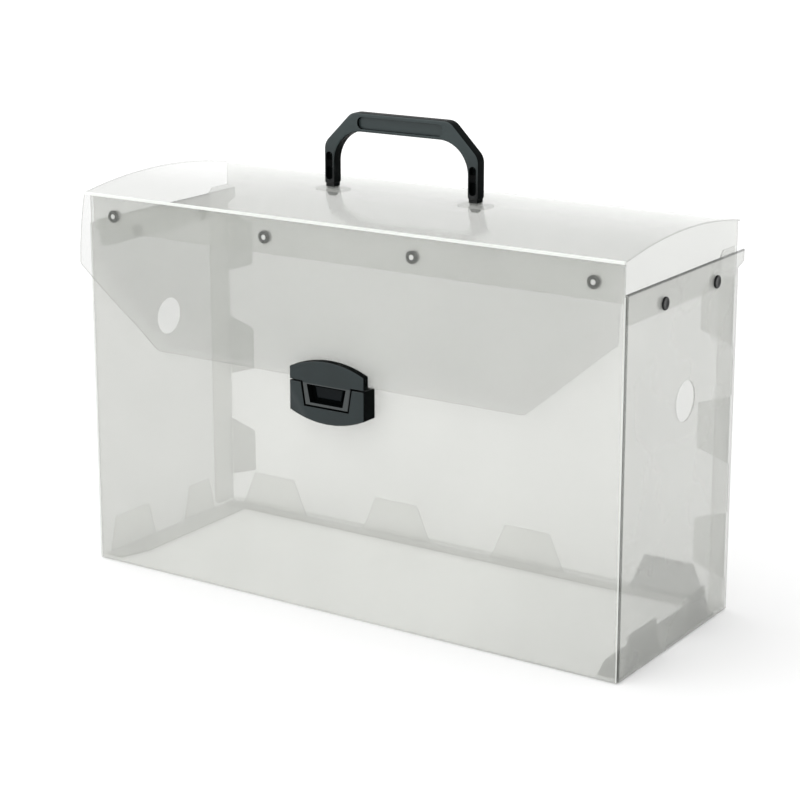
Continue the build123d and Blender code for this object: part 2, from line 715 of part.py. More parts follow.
# ---- backing plates and screws of the two latch halves, behind the wall and the flap --------
latch_halves = (
    ("latch_base", base_plate_y, base_plate_size, base_screw_x, base_screw_height, base_screw_reach),
    ("latch_hasp", flap_rear_y, hasp_plate_size, hasp_screw_x, hasp_screw_height, hasp_screw_reach),
)
for half_name, sheet_y, plate_size, screw_x, screw_height, screw_reach in latch_halves:
    screw_places = ((-screw_x, screw_height), (screw_x, screw_height))
    sheet_plane = Plane(origin=(0, sheet_y, 0), x_dir=(-1, 0, 0), z_dir=(0, 1, 0))
    with BuildPart() as plate:
        with BuildSketch(sheet_plane):
            with Locations((0, screw_height)):
                RectangleRounded(*plate_size, radius=plate_round)
            with Locations(*screw_places):
                Circle(screw_radius + screw_clearance, mode=Mode.SUBTRACT)
        extrude(amount=plate_thickness)
    plate.part.label = f"{half_name}_plate"
    export_step(plate.part, f"parts/{half_name}_plate.step")
    # slotted screws through the plate and the sheet into the latch half
    with BuildPart() as screws:
        with BuildSketch(sheet_plane.offset(plate_thickness)):
            with Locations(*screw_places):
                Circle(screw_head_radius)
        extrude(amount=screw_head_thickness, taper=screw_head_taper)
        with BuildSketch(sheet_plane.offset(plate_thickness)):
            with Locations(*screw_places):
                Circle(screw_radius)
        extrude(amount=-(plate_thickness + sheet + screw_reach))
        with BuildSketch(sheet_plane.offset(plate_thickness + screw_head_thickness)):
            with Locations(*screw_places):
                Rectangle(2 * screw_head_radius, screw_slot_width)
        extrude(amount=-screw_slot_depth, mode=Mode.SUBTRACT)
    screws.part.label = f"{half_name}_screws"
    export_step(screws.part, f"parts/{half_name}_screws.step")

# ---- handle: a flat bow with a recessed grip, hollowed legs and snap feet -------------------
with BuildPart() as handle:
    with BuildSketch(Plane.XZ):
        with BuildLine():
            outer = handle_width / 2
            inner = outer - handle_leg_width
            FilletPolyline(
                (-outer, handle_foot_bottom),
                (-outer, handle_top - handle_shoulder),
                (-outer + handle_shoulder, handle_top),
                (outer - handle_shoulder, handle_top),
                (outer, handle_top - handle_shoulder),
                (outer, handle_foot_bottom),
                radius=handle_outer_round,
            )
            FilletPolyline(
                (-inner, handle_foot_bottom),
                (-inner, bar_bottom),
                (inner, bar_bottom),
                (inner, handle_foot_bottom),
                radius=handle_inner_round,
            )
            Line((-outer, handle_foot_bottom), (-inner, handle_foot_bottom))
            Line((inner, handle_foot_bottom), (outer, handle_foot_bottom))
        make_face()
    extrude(amount=handle_thickness / 2, both=True)
    foot_edges = handle.edges().filter_by(Axis.Y).group_by(Axis.Z)[0]
    fillet(foot_edges, radius=handle_foot_round)
    rim_edges = handle.faces().filter_by(Axis.Y).edges()
    fillet(rim_edges, radius=handle_edge_round)
    for side in (-1, 1):
        # recess of the grip, with arched ends
        with BuildSketch(Plane.XZ.offset(side * handle_thickness / 2)):
            with Locations((0, bar_middle - grip_recess_drop)):
                RectangleRounded(*grip_recess_size, radius=grip_recess_round)
        extrude(amount=-side * grip_recess_depth, mode=Mode.SUBTRACT)
        # recesses of the legs
        with BuildSketch(Plane.XZ.offset(side * handle_thickness / 2)):
            with Locations((-leg_x, leg_recess_middle), (leg_x, leg_recess_middle)):
                SlotOverall(leg_recess_length, leg_recess_width, rotation=90)
        extrude(amount=-side * leg_recess_depth, mode=Mode.SUBTRACT)
    # windows through the legs' webs
    with BuildSketch(Plane.XZ):
        with Locations((-leg_x, leg_window_middle), (leg_x, leg_window_middle)):
            Rectangle(leg_recess_width, leg_window_height)
    extrude(amount=handle_thickness / 2, both=True, mode=Mode.SUBTRACT)
    # feet: collar on the lid, neck through it, barb under the washer
    with BuildSketch(Plane.XY.offset(lid_top_height + collar_seat_gap)):
        with Locations((-leg_x, 0), (leg_x, 0)):
            Rectangle(*collar_size)
    extrude(amount=handle_foot_bottom + handle_foot_round - lid_top_height)
    barb_top = washer_top - washer_thickness - layer_gap
    with BuildSketch(Plane.XY.offset(barb_top)):
        with Locations((-leg_x, 0), (leg_x, 0)):
            Rectangle(*neck_size)
    extrude(amount=handle_foot_bottom - barb_top)
    with BuildSketch(Plane.XY.offset(barb_top)):
        with Locations((-leg_x, 0), (leg_x, 0)):
            Rectangle(barb_width, neck_size[1])
    extrude(amount=-barb_length, taper=barb_taper)
handle.part.label = "handle"
export_step(handle.part, "parts/handle.step")

# ---- handle washers, under the lid, with the slots that the feet snap through ----------------
for side_name, washer_x in (("left", -leg_x), ("right", leg_x)):
    with BuildPart() as washer:
        with BuildSketch(Plane.XY.offset(washer_top)):
            with Locations((washer_x, 0)):
                RectangleRounded(*washer_size, radius=plate_round)
                slot_size = [size + 2 * neck_clearance for size in neck_size]
                Rectangle(*slot_size, mode=Mode.SUBTRACT)
        extrude(amount=-washer_thickness)
    washer.part.label = f"handle_washer_{side_name}"
    export_step(washer.part, f"parts/handle_washer_{side_name}.step")
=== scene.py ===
"""A portable file box of clear frosted sheet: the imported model's looks, and a studio for it."""

import json
import math

import bmesh
import bpy
import numpy as np
from bpy.props import FloatProperty, FloatVectorProperty, IntProperty, PointerProperty
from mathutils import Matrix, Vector
from mathutils.bvhtree import BVHTree


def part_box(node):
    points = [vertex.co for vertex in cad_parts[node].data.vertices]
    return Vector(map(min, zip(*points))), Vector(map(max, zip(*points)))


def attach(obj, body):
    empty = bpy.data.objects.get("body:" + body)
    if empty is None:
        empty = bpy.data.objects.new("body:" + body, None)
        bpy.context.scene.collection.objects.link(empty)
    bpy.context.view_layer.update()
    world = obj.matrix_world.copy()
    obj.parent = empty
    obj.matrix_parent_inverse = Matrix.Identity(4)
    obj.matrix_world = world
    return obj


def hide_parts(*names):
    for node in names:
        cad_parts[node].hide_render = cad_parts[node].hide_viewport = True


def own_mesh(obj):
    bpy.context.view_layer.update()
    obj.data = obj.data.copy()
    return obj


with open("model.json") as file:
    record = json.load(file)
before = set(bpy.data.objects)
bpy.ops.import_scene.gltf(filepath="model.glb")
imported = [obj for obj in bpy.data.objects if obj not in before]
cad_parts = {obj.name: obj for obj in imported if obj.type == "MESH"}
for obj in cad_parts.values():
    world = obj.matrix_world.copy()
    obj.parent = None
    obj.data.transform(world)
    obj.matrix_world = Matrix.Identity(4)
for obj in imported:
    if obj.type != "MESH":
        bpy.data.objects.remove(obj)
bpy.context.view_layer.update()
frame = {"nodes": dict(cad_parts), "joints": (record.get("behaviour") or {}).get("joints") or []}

bl_info = {
    "name": "File box looks",
    "version": (1, 0, 0),
    "blender": (4, 5, 0),
    "location": "View3D > Sidebar > File Box",
    "description": "Dresses the packed file box in clear sheet, moulded plastic and plated steel",
    "category": "Object",
}

MM = 0.001

# ---- what each CAD node becomes -------------------------------------------------------------
SHEET_NODES = {
    "floor_panel": ("root", "base"),
    "front_panel": ("root", "wall"),
    "left_end_panel": ("root", "left"),
    "right_end_panel": ("root", "right"),
    "back_panel": ("root", "wall"),
    "lid_panel": ("lid", "lid"),
    "flap_panel": ("flap", "flap"),
}
MOULDED_NODES = {
    "latch_base": "root",
    "latch_button": "button",
    "latch_hasp": "flap",
    "handle": "lid",
}
PLATE_NODES = (
    "latch_base_plate",
    "latch_hasp_plate",
    "handle_washer_left",
    "handle_washer_right",
)
SCREW_NODES = ("latch_base_screws", "latch_hasp_screws")
HINGE_LINES = [joint["pos_m"][1:] for joint in frame["joints"] if joint["type"] == "hinge"]
RIVET_ROWS = {
    "front": ((0, -1, 0), "root"),
    "right": ((1, 0, 0), "root"),
    "left": ((-1, 0, 0), "root"),
}

# ---- material slots: of the sheets, of the latch and the handle, and of the rivets -----------
FILM, EDGE_SHADE, CREASE_HIGHLIGHT, FOLD_SHADE, LAP_SHADE, REAR_LAP_SHADE = range(6)
SMOOTH_SHADE, FRAME_HIGHLIGHT = 1, 2         # after the textured plastic: sides in painted shade, a frame in painted highlight
PIN_HIGHLIGHT = 1                 # after the rivets' black: a painted highlight on the pins
PIN_RINGS = 2                   # rings of faces of a rivet that are its pin, the first ones

# ---- sizes that are read off the model's own shape ------------------------------------------
MERGE_REACH = 0.002 * MM        # points of a CAD mesh this near are one
SHEET_ANGLE = 30                # in degrees, the sharpest turn that is shaded smooth
ROUND_ANGLE = 40                # the same, on turned and coiled parts
FLAT_ANGLE = 1                  # moulded faces that turn less than this are joined
BEVEL_ANGLE = 35                # moulded edges that turn more than this are rounded
FACING = 0.7                    # of a normal along an axis, where a face counts as facing it
END_TAB_REACH = 19.2 * MM       # from the right end, within which the tabs inside its wall lie
REAR_TAB_REACH = 70 * MM        # from the right end, within which the nearest rear tab lies
FOOT_HEIGHT = 4 * MM            # of the back panel's bottom bend
HEM_SHARE = 0.7                 # of the bend reach, the depth of a hem's folded top, which is painted in shade
HOLLOW_DEPTH = 2.5 * MM         # in from the front or the back of a moulded part

# ---- how strongly the sheets mirror, as indices of refraction -------------------------------
FILM_IOR = 1.5
LID_IOR = 1.8                   # the lid shines more than the walls

# ---- where painted shade and light turn colours into others, as shares of the way -----------
LID_SHADE_BLEND = (0.15, 1.0)         # from the front crease to the rear one: painted shade turning to painted light
BASE_SHADE_BLEND = (0.15, 0.75)       # from the middle of the floor to its right end, into painted shade
HANDLE_SHADE_BLEND = (0.15, 0.75)     # from the handle's feet to its bar, out of painted shade

# ---- the studio, in metres ------------------------------------------------------------------
KEY_LAMP = ((-1.1, -1.6, 1.3), 2.2)      # place and size
TOP_LAMP = ((-0.3, -0.2, 1.5), 1.0)
LAMP_AIM = (0, 0, 0.12)
SKY_FADE = (-0.2, 0.7)          # from where to where the world fades towards the right
FLOOR_RADIUS = 12
FLOOR_STEPS = 96
FLOOR_DROP = 0.3 * MM           # below the box, so that the two don't touch
GLOW_RISE = (0.5, 2.5)          # from where to where the floor's glow grows
UNDER_FADE = (-4 * MM, -0.5 * MM)    # from the edge of the box's base
SHEER_BOUNCES = 48              # clear faces that a ray may cross


# ---- settings -------------------------------------------------------------------------------
class FileBoxSheet(bpy.types.PropertyGroup):
    """The plastic sheet that the box is folded from."""

    wall_colour: FloatVectorProperty(
        name="Wall colour",
        description="Colour of the milky sheet in the front and the back",
        subtype="COLOR",
        size=3,
        default=(0.72, 0.73, 0.69),
    )
    # painted shade: the end panels are the walls' sheet, coloured darker for the shade they lie in,
    # the left one most
    left_colour: FloatVectorProperty(
        name="Left end colour",
        description="Colour of the left end panel",
        subtype="COLOR",
        size=3,
        default=(0.50, 0.51, 0.48),
    )
    right_colour: FloatVectorProperty(
        name="Right end colour",
        description="Colour of the right end panel",
        subtype="COLOR",
        size=3,
        default=(0.67, 0.68, 0.645),
    )
    # painted shade and light: the lid is darker at the front crease and turns paler towards the
    # rear
    lid_colour: FloatVectorProperty(
        name="Lid colour",
        description="Colour of the lid",
        subtype="COLOR",
        size=3,
        default=(0.42, 0.43, 0.405),
    )
    lid_rear_light_colour: FloatVectorProperty(
        name="Lid rear colour",
        description="Colour of the lid at its rear crease, where it is paler",
        subtype="COLOR",
        size=3,
        default=(0.84, 0.85, 0.83),
    )
    # painted shade: the flap is the walls' sheet, coloured darker because less light comes through
    # it from behind
    flap_colour: FloatVectorProperty(
        name="Flap colour",
        description="Colour of the flap",
        subtype="COLOR",
        size=3,
        default=(0.39, 0.40, 0.375),
    )
    # painted light and shade: the floor is paler than the walls for light that reaches it through
    # them, and darker towards its right end
    base_colour: FloatVectorProperty(
        name="Base colour",
        description="Colour of the floor of the box and its tabs",
        subtype="COLOR",
        size=3,
        default=(0.84, 0.85, 0.81),
    )
    base_right_shade_colour: FloatVectorProperty(
        name="Base right colour",
        description="Colour of the floor towards the right end",
        subtype="COLOR",
        size=3,
        default=(0.56, 0.57, 0.54),
    )
    # painted shade: the tabs and the flange at the right end are the same sheet, given a near-black
    # colour for the shade they lie in
    lap_colour: FloatVectorProperty(
        name="Lap colour",
        description="Colour of the tabs and the flange where the sheets lap at the right end",
        subtype="COLOR",
        size=3,
        default=(0.06, 0.07, 0.06),
    )
    base_cover: FloatProperty(
        name="Base cover",
        description="Share of the view that each face of the floor hides",
        subtype="FACTOR",
        min=0.0,
        max=1.0,
        default=0.29,
    )
    lap_cover: FloatProperty(
        name="Lap cover",
        description="Share of the view that each face of a lap at the right end hides",
        subtype="FACTOR",
        min=0.0,
        max=1.0,
        default=0.64,
    )
    rear_lap_cover: FloatProperty(
        name="Rear lap cover",
        description="Share of the view that each face of the right rear tab hides",
        subtype="FACTOR",
        min=0.0,
        max=1.0,
        default=0.40,
    )
    wall_cover: FloatProperty(
        name="Wall cover",
        description="Share of the view that each face of the front or the back hides",
        subtype="FACTOR",
        min=0.0,
        max=1.0,
        default=0.29,
    )
    left_cover: FloatProperty(
        name="Left end cover",
        description="Share of the view that each face of the left end panel hides",
        subtype="FACTOR",
        min=0.0,
        max=1.0,
        default=0.38,
    )
    right_cover: FloatProperty(
        name="Right end cover",
        description="Share of the view that each face of the right end panel hides",
        subtype="FACTOR",
        min=0.0,
        max=1.0,
        default=0.38,
    )
    lid_cover: FloatProperty(
        name="Lid cover",
        description="Share of the view that each face of the lid hides",
        subtype="FACTOR",
        min=0.0,
        max=1.0,
        default=0.34,
    )
    flap_cover: FloatProperty(
        name="Flap cover",
        description="Share of the view that each face of the flap hides",
        subtype="FACTOR",
        min=0.0,
        max=1.0,
        default=0.17,
    )
    # painted shade: the cut edges, and the back panel's bottom bend, are drawn in a darker, denser
    # film than the sheet
    edge_shade_colour: FloatVectorProperty(
        name="Edge colour",
        description="Colour of the sheet's cut edges, where light gathers",
        subtype="COLOR",
        size=3,
        default=(0.36, 0.37, 0.34),
    )
    edge_shade_cover: FloatProperty(
        name="Edge cover",
        description="Share of the view that a cut edge hides",
        subtype="FACTOR",
        min=0.0,
        max=1.0,
        default=0.40,
    )
    edge_depth: FloatProperty(
        name="Edge depth",
        description="A face counts as a cut edge where the sheet behind it is deeper than this",
        unit="LENGTH",
        default=1.6 * MM,
    )
    # painted highlight: a pale, dense strip along the front crease and on the front corners' bends,
    # where the rounded sheet catches the light
    crease_highlight_colour: FloatVectorProperty(
        name="Crease colour",
        description="Colour of the sheet where a living hinge has whitened it",
        subtype="COLOR",
        size=3,
        default=(0.82, 0.84, 0.81),
    )
    crease_highlight_cover: FloatProperty(
        name="Crease cover",
        description="Share of the view that a whitened crease hides",
        subtype="FACTOR",
        min=0.0,
        max=1.0,
        default=0.85,
    )
    # painted shade: a dark, dense film on the outer part of the front corners' bends and on the
    # tops of the end panels' hems
    fold_shade_colour: FloatVectorProperty(
        name="Fold colour",
        description="Colour deep in a tight bend, which takes no light from behind",
        subtype="COLOR",
        size=3,
        default=(0.10, 0.105, 0.095),
    )
    fold_shade_cover: FloatProperty(
        name="Fold cover",
        description="Share of the view that a tight bend hides",
        subtype="FACTOR",
        min=0.0,
        max=1.0,
        default=0.55,
    )
    # the width of the painted highlight along the front crease
    crease_highlight_reach: FloatProperty(
        name="Crease reach",
        description="How far from the front crease the sheet is whitened",
        unit="LENGTH",
        default=1.0 * MM,
    )
    bend_reach: FloatProperty(
        name="Bend reach",
        description="Outer radius of the front corner bends and depth of the hems' folds",
        unit="LENGTH",
        default=1.6 * MM,
    )
    grain: FloatProperty(
        name="Grain",
        description="Size of the sheet's fine embossed grain",
        unit="LENGTH",
        default=0.5 * MM,
    )


class FileBoxFittings(bpy.types.PropertyGroup):
    """The moulded latch and handle, the rivets and the steel."""

    moulded_colour: FloatVectorProperty(
        name="Moulded colour",
        description="Colour of the latch",
        subtype="COLOR",
        size=3,
        default=(0.010, 0.018, 0.019),
    )
    # painted shade: the handle keeps this colour at its bar and turns to the sides' near black
    # towards its feet
    handle_bar_colour: FloatVectorProperty(
        name="Handle colour",
        description="Colour of the handle where it is held",
        subtype="COLOR",
        size=3,
        default=(0.028, 0.041, 0.042),
    )
    # painted highlight: the frame round the latch's window is drawn paler than the latch, for light
    # on its bevelled bars
    frame_highlight_colour: FloatVectorProperty(
        name="Frame colour",
        description="Colour of the polished frame round the latch's window",
        subtype="COLOR",
        size=3,
        default=(0.036, 0.043, 0.043),
    )
    # darker than the latch: partly its own plastic and partly painted shade of the recess it sits
    # in
    button_colour: FloatVectorProperty(
        name="Button colour",
        description="Colour of the latch's button",
        subtype="COLOR",
        size=3,
        default=(0.002, 0.004, 0.005),
    )
    # partly the smooth mould's own finish and partly painted shade: the moulded parts' sides and
    # hollows, and the handle's feet, are drawn near black with hardly any gloss
    side_shade_colour: FloatVectorProperty(
        name="Smooth colour",
        description="Colour of the moulded parts' untextured sides and hollows",
        subtype="COLOR",
        size=3,
        default=(0.003, 0.004, 0.004),
    )
    plate_colour: FloatVectorProperty(
        name="Plate colour",
        description="Colour of the undyed backing plates and washers",
        subtype="COLOR",
        size=3,
        default=(0.62, 0.63, 0.60),
    )
    plate_cover: FloatProperty(
        name="Plate cover",
        description="Share of the view that each face of a milky plate hides",
        subtype="FACTOR",
        min=0.0,
        max=1.0,
        default=0.45,
    )
    rivet_colour: FloatVectorProperty(
        name="Rivet colour",
        description="Colour of the snap rivets",
        subtype="COLOR",
        size=3,
        default=(0.004, 0.005, 0.005),
    )
    # painted highlight: the front rivets' pins are drawn pale where their dished heads catch the
    # light
    pin_highlight_colour: FloatVectorProperty(
        name="Pin colour",
        description="Colour of the pins in the front rivets",
        subtype="COLOR",
        size=3,
        default=(0.86, 0.87, 0.85),
    )
    steel_colour: FloatVectorProperty(
        name="Steel colour",
        description="Colour of the plated screws and spring",
        subtype="COLOR",
        size=3,
        default=(0.62, 0.62, 0.60),
    )
    edge_round: FloatProperty(
        name="Edge rounding",
        description="Rounding of the moulded edges",
        unit="LENGTH",
        default=0.2 * MM,
    )
    lathe_steps: IntProperty(
        name="Lathe steps",
        description="Divisions round a rivet",
        min=12,
        default=48,
    )


class FileBoxStage(bpy.types.PropertyGroup):
    """The camera, the light and the floor."""

    camera_place: FloatVectorProperty(
        name="Camera place",
        description="Where the camera stands",
        subtype="TRANSLATION",
        unit="LENGTH",
        default=(0.7130, -1.0796, 0.4826),
    )
    camera_aim: FloatVectorProperty(
        name="Camera aim",
        description="Direction that the camera looks in",
        subtype="DIRECTION",
        default=(-0.5368, 0.8104, -0.2347),
    )
    lens: FloatProperty(
        name="Lens",
        description="Focal length in millimetres on a 36 mm wide sensor",
        default=97.7,
    )
    shift: FloatProperty(
        name="Shift",
        description="Vertical shift of the lens",
        default=-0.1,
    )
    world_light: FloatProperty(
        name="World light",
        description="Strength of the light from all round",
        default=1.12,
    )
    right_share: FloatProperty(
        name="Light from the right",
        description="Light from the right as a share of the light from the left",
        subtype="FACTOR",
        min=0.0,
        max=1.0,
        default=0.85,
    )
    key_power: FloatProperty(
        name="Key light",
        description="Power of the large lamp at the front left, in watts",
        default=10.0,
    )
    top_power: FloatProperty(
        name="Top light",
        description="Power of the lamp overhead, in watts",
        default=5.0,
    )
    floor_colour: FloatVectorProperty(
        name="Floor colour",
        description="Colour of the floor",
        subtype="COLOR",
        size=3,
        default=(0.70, 0.70, 0.70),
    )
    # painted light: a glow on the floor under the box, seen by the camera, in gloss and through the
    # sheets, which fills in the box's shadow there
    under_glow: FloatProperty(
        name="Glow under the box",
        description="Light added to the look of the floor right under the box, as on a lit table",
        default=0.40,
    )
    near_glow: FloatProperty(
        name="Glow beside the box",
        description="Light added to the look of the floor beside the box",
        default=0.22,
    )
    far_glow: FloatProperty(
        name="Far glow",
        description="Light added to the look of the floor far off, so that it meets the backdrop",
        default=0.50,
    )


# ---- node trees -----------------------------------------------------------------------------
def start_material(name):
    """A new material with its node tree, its Principled shader and an Object coordinate."""
    material = bpy.data.materials.new(name)
    material.use_nodes = True
    tree = material.node_tree
    shader = tree.nodes["Principled BSDF"]
    place = tree.nodes.new("ShaderNodeTexCoord")
    return material, tree, shader, place.outputs["Object"]


def noise(tree, place, size, detail=2.0):
    """Noise whose blotches measure about size, in metres."""
    node = tree.nodes.new("ShaderNodeTexNoise")
    node.inputs["Scale"].default_value = 1.0 / size
    node.inputs["Detail"].default_value = detail
    tree.links.new(place, node.inputs["Vector"])
    return node.outputs["Fac"]


def between(tree, factor, low, high):
    """A number that goes from low to high as a noise goes over most of its range, 0.3 to 0.7."""
    return ranged(tree, factor, (0.3, 0.7), (low, high))


def ranged(tree, value, source, target, steps="LINEAR"):
    """value, with the range source stretched to the range target and cut off past its ends."""
    node = tree.nodes.new("ShaderNodeMapRange")
    node.interpolation_type = steps
    node.inputs["From Min"].default_value = source[0]
    node.inputs["From Max"].default_value = source[1]
    node.inputs["To Min"].default_value = target[0]
    node.inputs["To Max"].default_value = target[1]
    tree.links.new(value, node.inputs["Value"])
    return node.outputs["Result"]


def blotched(tree, factor, colour, spread):
    """A colour that varies by the share spread to each side of colour."""
    node = tree.nodes.new("ShaderNodeMix")
    node.data_type = "RGBA"
    node.inputs["A"].default_value = (*[c * (1 - spread) for c in colour], 1)
    node.inputs["B"].default_value = (*[min(1, c * (1 + spread)) for c in colour], 1)
    tree.links.new(between(tree, factor, 0.0, 1.0), node.inputs["Factor"])
    return node.outputs["Result"]


def add_bump(tree, shader, height, strength, distance):
    """Bump on the shader's normal from a height."""
    node = tree.nodes.new("ShaderNodeBump")
    node.inputs["Strength"].default_value = strength
    node.inputs["Distance"].default_value = distance
    tree.links.new(height, node.inputs["Height"])
    tree.links.new(node.outputs["Normal"], shader.inputs["Normal"])


def film_material(name, colour, cover, grain, ior=FILM_IOR):
    """Clear frosted sheet: a thin veil of colour over what is behind it, with gloss and grain."""
    material, tree, shader, place = start_material(name)
    cloud = noise(tree, place, 60 * MM)
    fine = noise(tree, place, grain, detail=1.0)
    tree.links.new(blotched(tree, cloud, colour, 0.03), shader.inputs["Base Color"])
    tree.links.new(between(tree, cloud, 0.13, 0.18), shader.inputs["Roughness"])
    add_bump(tree, shader, fine, 0.07, 0.05 * MM)
    shader.inputs["Alpha"].default_value = cover
    shader.inputs["IOR"].default_value = ior
    return material


def moulded_material(name, colour, ior=1.4):
    """Moulded plastic with a fine spark-eroded texture, its tone and gloss varying a little in
    blotches.
    """
    material, tree, shader, place = start_material(name)
    pits = noise(tree, place, 0.35 * MM, detail=3.0)
    cloud = noise(tree, place, 14 * MM)
    tree.links.new(blotched(tree, cloud, colour, 0.10), shader.inputs["Base Color"])
    tree.links.new(between(tree, cloud, 0.33, 0.42), shader.inputs["Roughness"])
    add_bump(tree, shader, pits, 0.25, 0.06 * MM)
    shader.inputs["IOR"].default_value = ior
    return material


def blend_along(material, axis, start, end, colour):
    """Turn a material's colour into another between two places on an axis of the piece, which here
    paints shade and light along the lid, the floor and the handle.

    The share of the other colour at u, from 0 at start to 1 at end, is 3 u^2 - 2 u^3.
    """
    tree = material.node_tree
    split = tree.nodes.new("ShaderNodeSeparateXYZ")
    tree.links.new(tree.nodes["Texture Coordinate"].outputs["Object"], split.inputs[0])
    climb = ranged(tree, split.outputs[axis], (start, end), (0.0, 1.0), "SMOOTHSTEP")
    blend = tree.nodes.new("ShaderNodeMix")
    blend.data_type = "RGBA"
    blend.inputs["B"].default_value = (*colour, 1)
    base = tree.nodes["Principled BSDF"].inputs["Base Color"]
    tree.links.new(base.links[0].from_socket, blend.inputs["A"])
    tree.links.new(climb, blend.inputs["Factor"])
    tree.links.new(blend.outputs["Result"], base)


def share_of_way(start, end, shares):
    """The places that lie the given shares of the way from start to end."""
    return [start + share * (end - start) for share in shares]


def side_shade_material(name, colour):
    """The same plastic where its mould was smooth: deep black, with a soft gloss, darker than its
    own colour as painted shade.
    """
    material, tree, shader, place = start_material(name)
    cloud = noise(tree, place, 6 * MM)
    tree.links.new(blotched(tree, cloud, colour, 0.15), shader.inputs["Base Color"])
    tree.links.new(between(tree, cloud, 0.30, 0.40), shader.inputs["Roughness"])
    add_bump(tree, shader, cloud, 0.05, 0.05 * MM)
    shader.inputs["IOR"].default_value = 1.06
    return material


def gloss_material(name, colour):
    """Smooth moulded plastic of the rivets."""
    material, tree, shader, place = start_material(name)
    cloud = noise(tree, place, 3 * MM)
    tree.links.new(blotched(tree, cloud, colour, 0.15), shader.inputs["Base Color"])
    tree.links.new(between(tree, cloud, 0.20, 0.28), shader.inputs["Roughness"])
    add_bump(tree, shader, cloud, 0.05, 0.05 * MM)
    shader.inputs["IOR"].default_value = 1.3
    return material


def steel_material(name, colour):
    """Zinc-plated steel with fine streaks and uneven gloss."""
    material, tree, shader, place = start_material(name)
    stretch = tree.nodes.new("ShaderNodeMapping")
    stretch.inputs["Scale"].default_value = (1, 1, 6)
    tree.links.new(place, stretch.inputs["Vector"])
    streaks = noise(tree, stretch.outputs["Vector"], 0.8 * MM, detail=4.0)
    tree.links.new(blotched(tree, streaks, colour, 0.08), shader.inputs["Base Color"])
    tree.links.new(between(tree, streaks, 0.24, 0.42), shader.inputs["Roughness"])
    add_bump(tree, shader, streaks, 0.08, 0.02 * MM)
    shader.inputs["Metallic"].default_value = 1.0
    return material


def worked_out(tree, operation, first, second):
    """One number from a node's output and another output or a plain number."""
    node = tree.nodes.new("ShaderNodeMath")
    node.operation = operation
    tree.links.new(first, node.inputs[0])
    if isinstance(second, float):
        node.inputs[1].default_value = second
    else:
        tree.links.new(second, node.inputs[1])
    return node.outputs[0]


def seen_directly(tree):
    """1 for a ray from the camera, in gloss or through glass, and 0 for the rest."""
    path = tree.nodes.new("ShaderNodeLightPath")
    value = path.outputs["Is Camera Ray"]
    for ray in ("Is Glossy Ray", "Is Transmission Ray"):
        value = worked_out(tree, "MAXIMUM", value, path.outputs[ray])
    return value


# ---- meshes ---------------------------------------------------------------------------------
def copied_mesh(node, name):
    """A copy of a CAD node as a piece of its own, its loose triangles joined up."""
    source = frame["nodes"][node]
    mesh = source.data.copy()
    mesh.name = name
    mesh.materials.clear()
    shape = bmesh.new()
    shape.from_mesh(mesh)
    bmesh.ops.remove_doubles(shape, verts=shape.verts, dist=MERGE_REACH)
    shape.to_mesh(mesh)
    shape.free()
    piece = bpy.data.objects.new(name, mesh)
    bpy.context.collection.objects.link(piece)
    return piece


def dress(node, material):
    """Give a CAD node, which stays as it is, its material."""
    materials = frame["nodes"][node].data.materials
    materials.clear()
    materials.append(material)


def smooth_by_angle(mesh, degrees):
    """Smooth shading, with edges sharper than the angle kept sharp."""
    mesh.polygons.foreach_set("use_smooth", np.ones(len(mesh.polygons), bool))
    mesh.set_sharp_from_angle(angle=math.radians(degrees))
    mesh.update()


def mark_cut_edges(mesh, depth):
    """Give the cut edges' painted shade to faces where a ray straight in goes further than depth.
    """
    tree = BVHTree.FromPolygons(
        [vertex.co for vertex in mesh.vertices], [face.vertices for face in mesh.polygons]
    )
    step = 0.01 * MM
    for face in mesh.polygons:
        inward = -face.normal
        hit = tree.ray_cast(face.center + inward * step, inward)
        face.material_index = EDGE_SHADE if hit[3] is None or hit[3] > depth else FILM


def face_frames(mesh):
    """Centres and normals of a mesh's faces, as two arrays of rows (x, y, z)."""
    count = len(mesh.polygons)
    centres = np.empty(3 * count)
    normals = np.empty(3 * count)
    mesh.polygons.foreach_get("center", centres)
    mesh.polygons.foreach_get("normal", normals)
    return centres.reshape(-1, 3), normals.reshape(-1, 3)


def give_material(mesh, chosen, slot):
    """Put the chosen faces, a row of true and false, on a material slot."""
    slots = np.empty(len(mesh.polygons), np.int32)
    mesh.polygons.foreach_get("material_index", slots)
    slots[chosen] = slot
    mesh.polygons.foreach_set("material_index", slots)


def cut_strip(mesh, place, normal):
    """Cut a mesh's faces along the plane through place, so that a strip beside it can be marked."""
    shape = bmesh.new()
    shape.from_mesh(mesh)
    everything = [*shape.verts, *shape.edges, *shape.faces]
    bmesh.ops.bisect_plane(shape, geom=everything, dist=0.001 * MM, plane_co=place, plane_no=normal)
    shape.to_mesh(mesh)
    shape.free()


def mark_crease_highlight(mesh, reach):
    """Paint a highlight on a strip along the front crease, on the lid and the flap.

    The strip is where hypot(y - crease y, z - crease z) is less than reach.
    """
    y, z = min(HINGE_LINES)
    cut_strip(mesh, (0, y + reach, 0), (0, 1, 0))
    cut_strip(mesh, (0, 0, z - reach), (0, 0, 1))
    centres, _ = face_frames(mesh)
    give_material(mesh, np.hypot(centres[:, 1] - y, centres[:, 2] - z) < reach, CREASE_HIGHLIGHT)


